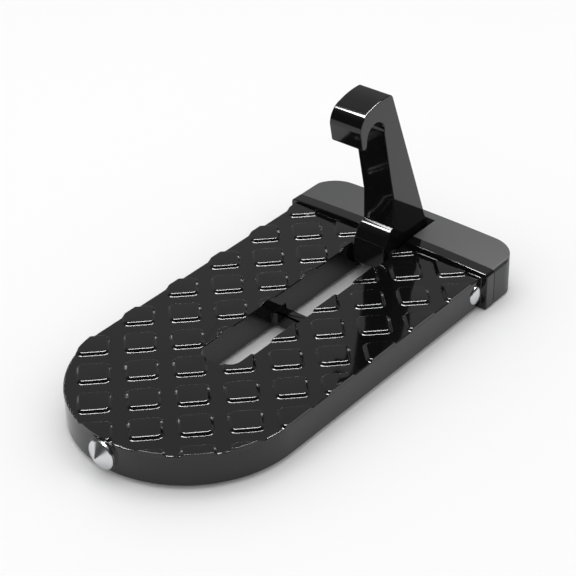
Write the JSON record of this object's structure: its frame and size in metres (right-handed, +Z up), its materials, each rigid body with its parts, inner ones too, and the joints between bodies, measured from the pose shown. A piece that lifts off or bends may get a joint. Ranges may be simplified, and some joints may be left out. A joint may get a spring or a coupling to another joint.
{
  "type": "car door latch step",
  "caption": "Folding step plate with a raised pad tread, a hinged hook that hangs on a door striker, a rubber bumper and a pointed nose tip.",
  "frame": {"origin": "on the floor under the middle of the part's length and width, at the level of the flange's underside", "axes": "+X across the plate, parallel to the hinge pin, +Y from the nose to the rubber bumper, +Z up from the floor through the tread"},
  "size_m": [0.1006, 0.1986, 0.0879],
  "materials": {
    "black_gloss_casting": "gloss",
    "black_rubber": "satin",
    "bright_steel": "bright",
    "zinc_steel": "satin",
    "dark_steel": "satin"
  },
  "bodies": {
    "plate": {"tread_plate": "black_gloss_casting", "hinge_pin": "bright_steel", "spacer_washer_left": "zinc_steel", "spacer_washer_right": "zinc_steel", "rubber_bumper": "black_rubber", "bumper_screws": "dark_steel", "bumper_washers": "zinc_steel", "breaker_tip": "bright_steel", "breaker_washer": "zinc_steel", "breaker_nut": "zinc_steel"},
    "hook": {"hook": "black_gloss_casting"}
  },
  "joints": [
    {"name": "hook_fold", "type": "hinge", "parent": "plate", "child": "hook", "pos_m": [0, 0.07035, 0.0083], "axis": [1, 0, 0], "range_deg": [0, 82.5]}
  ]
}
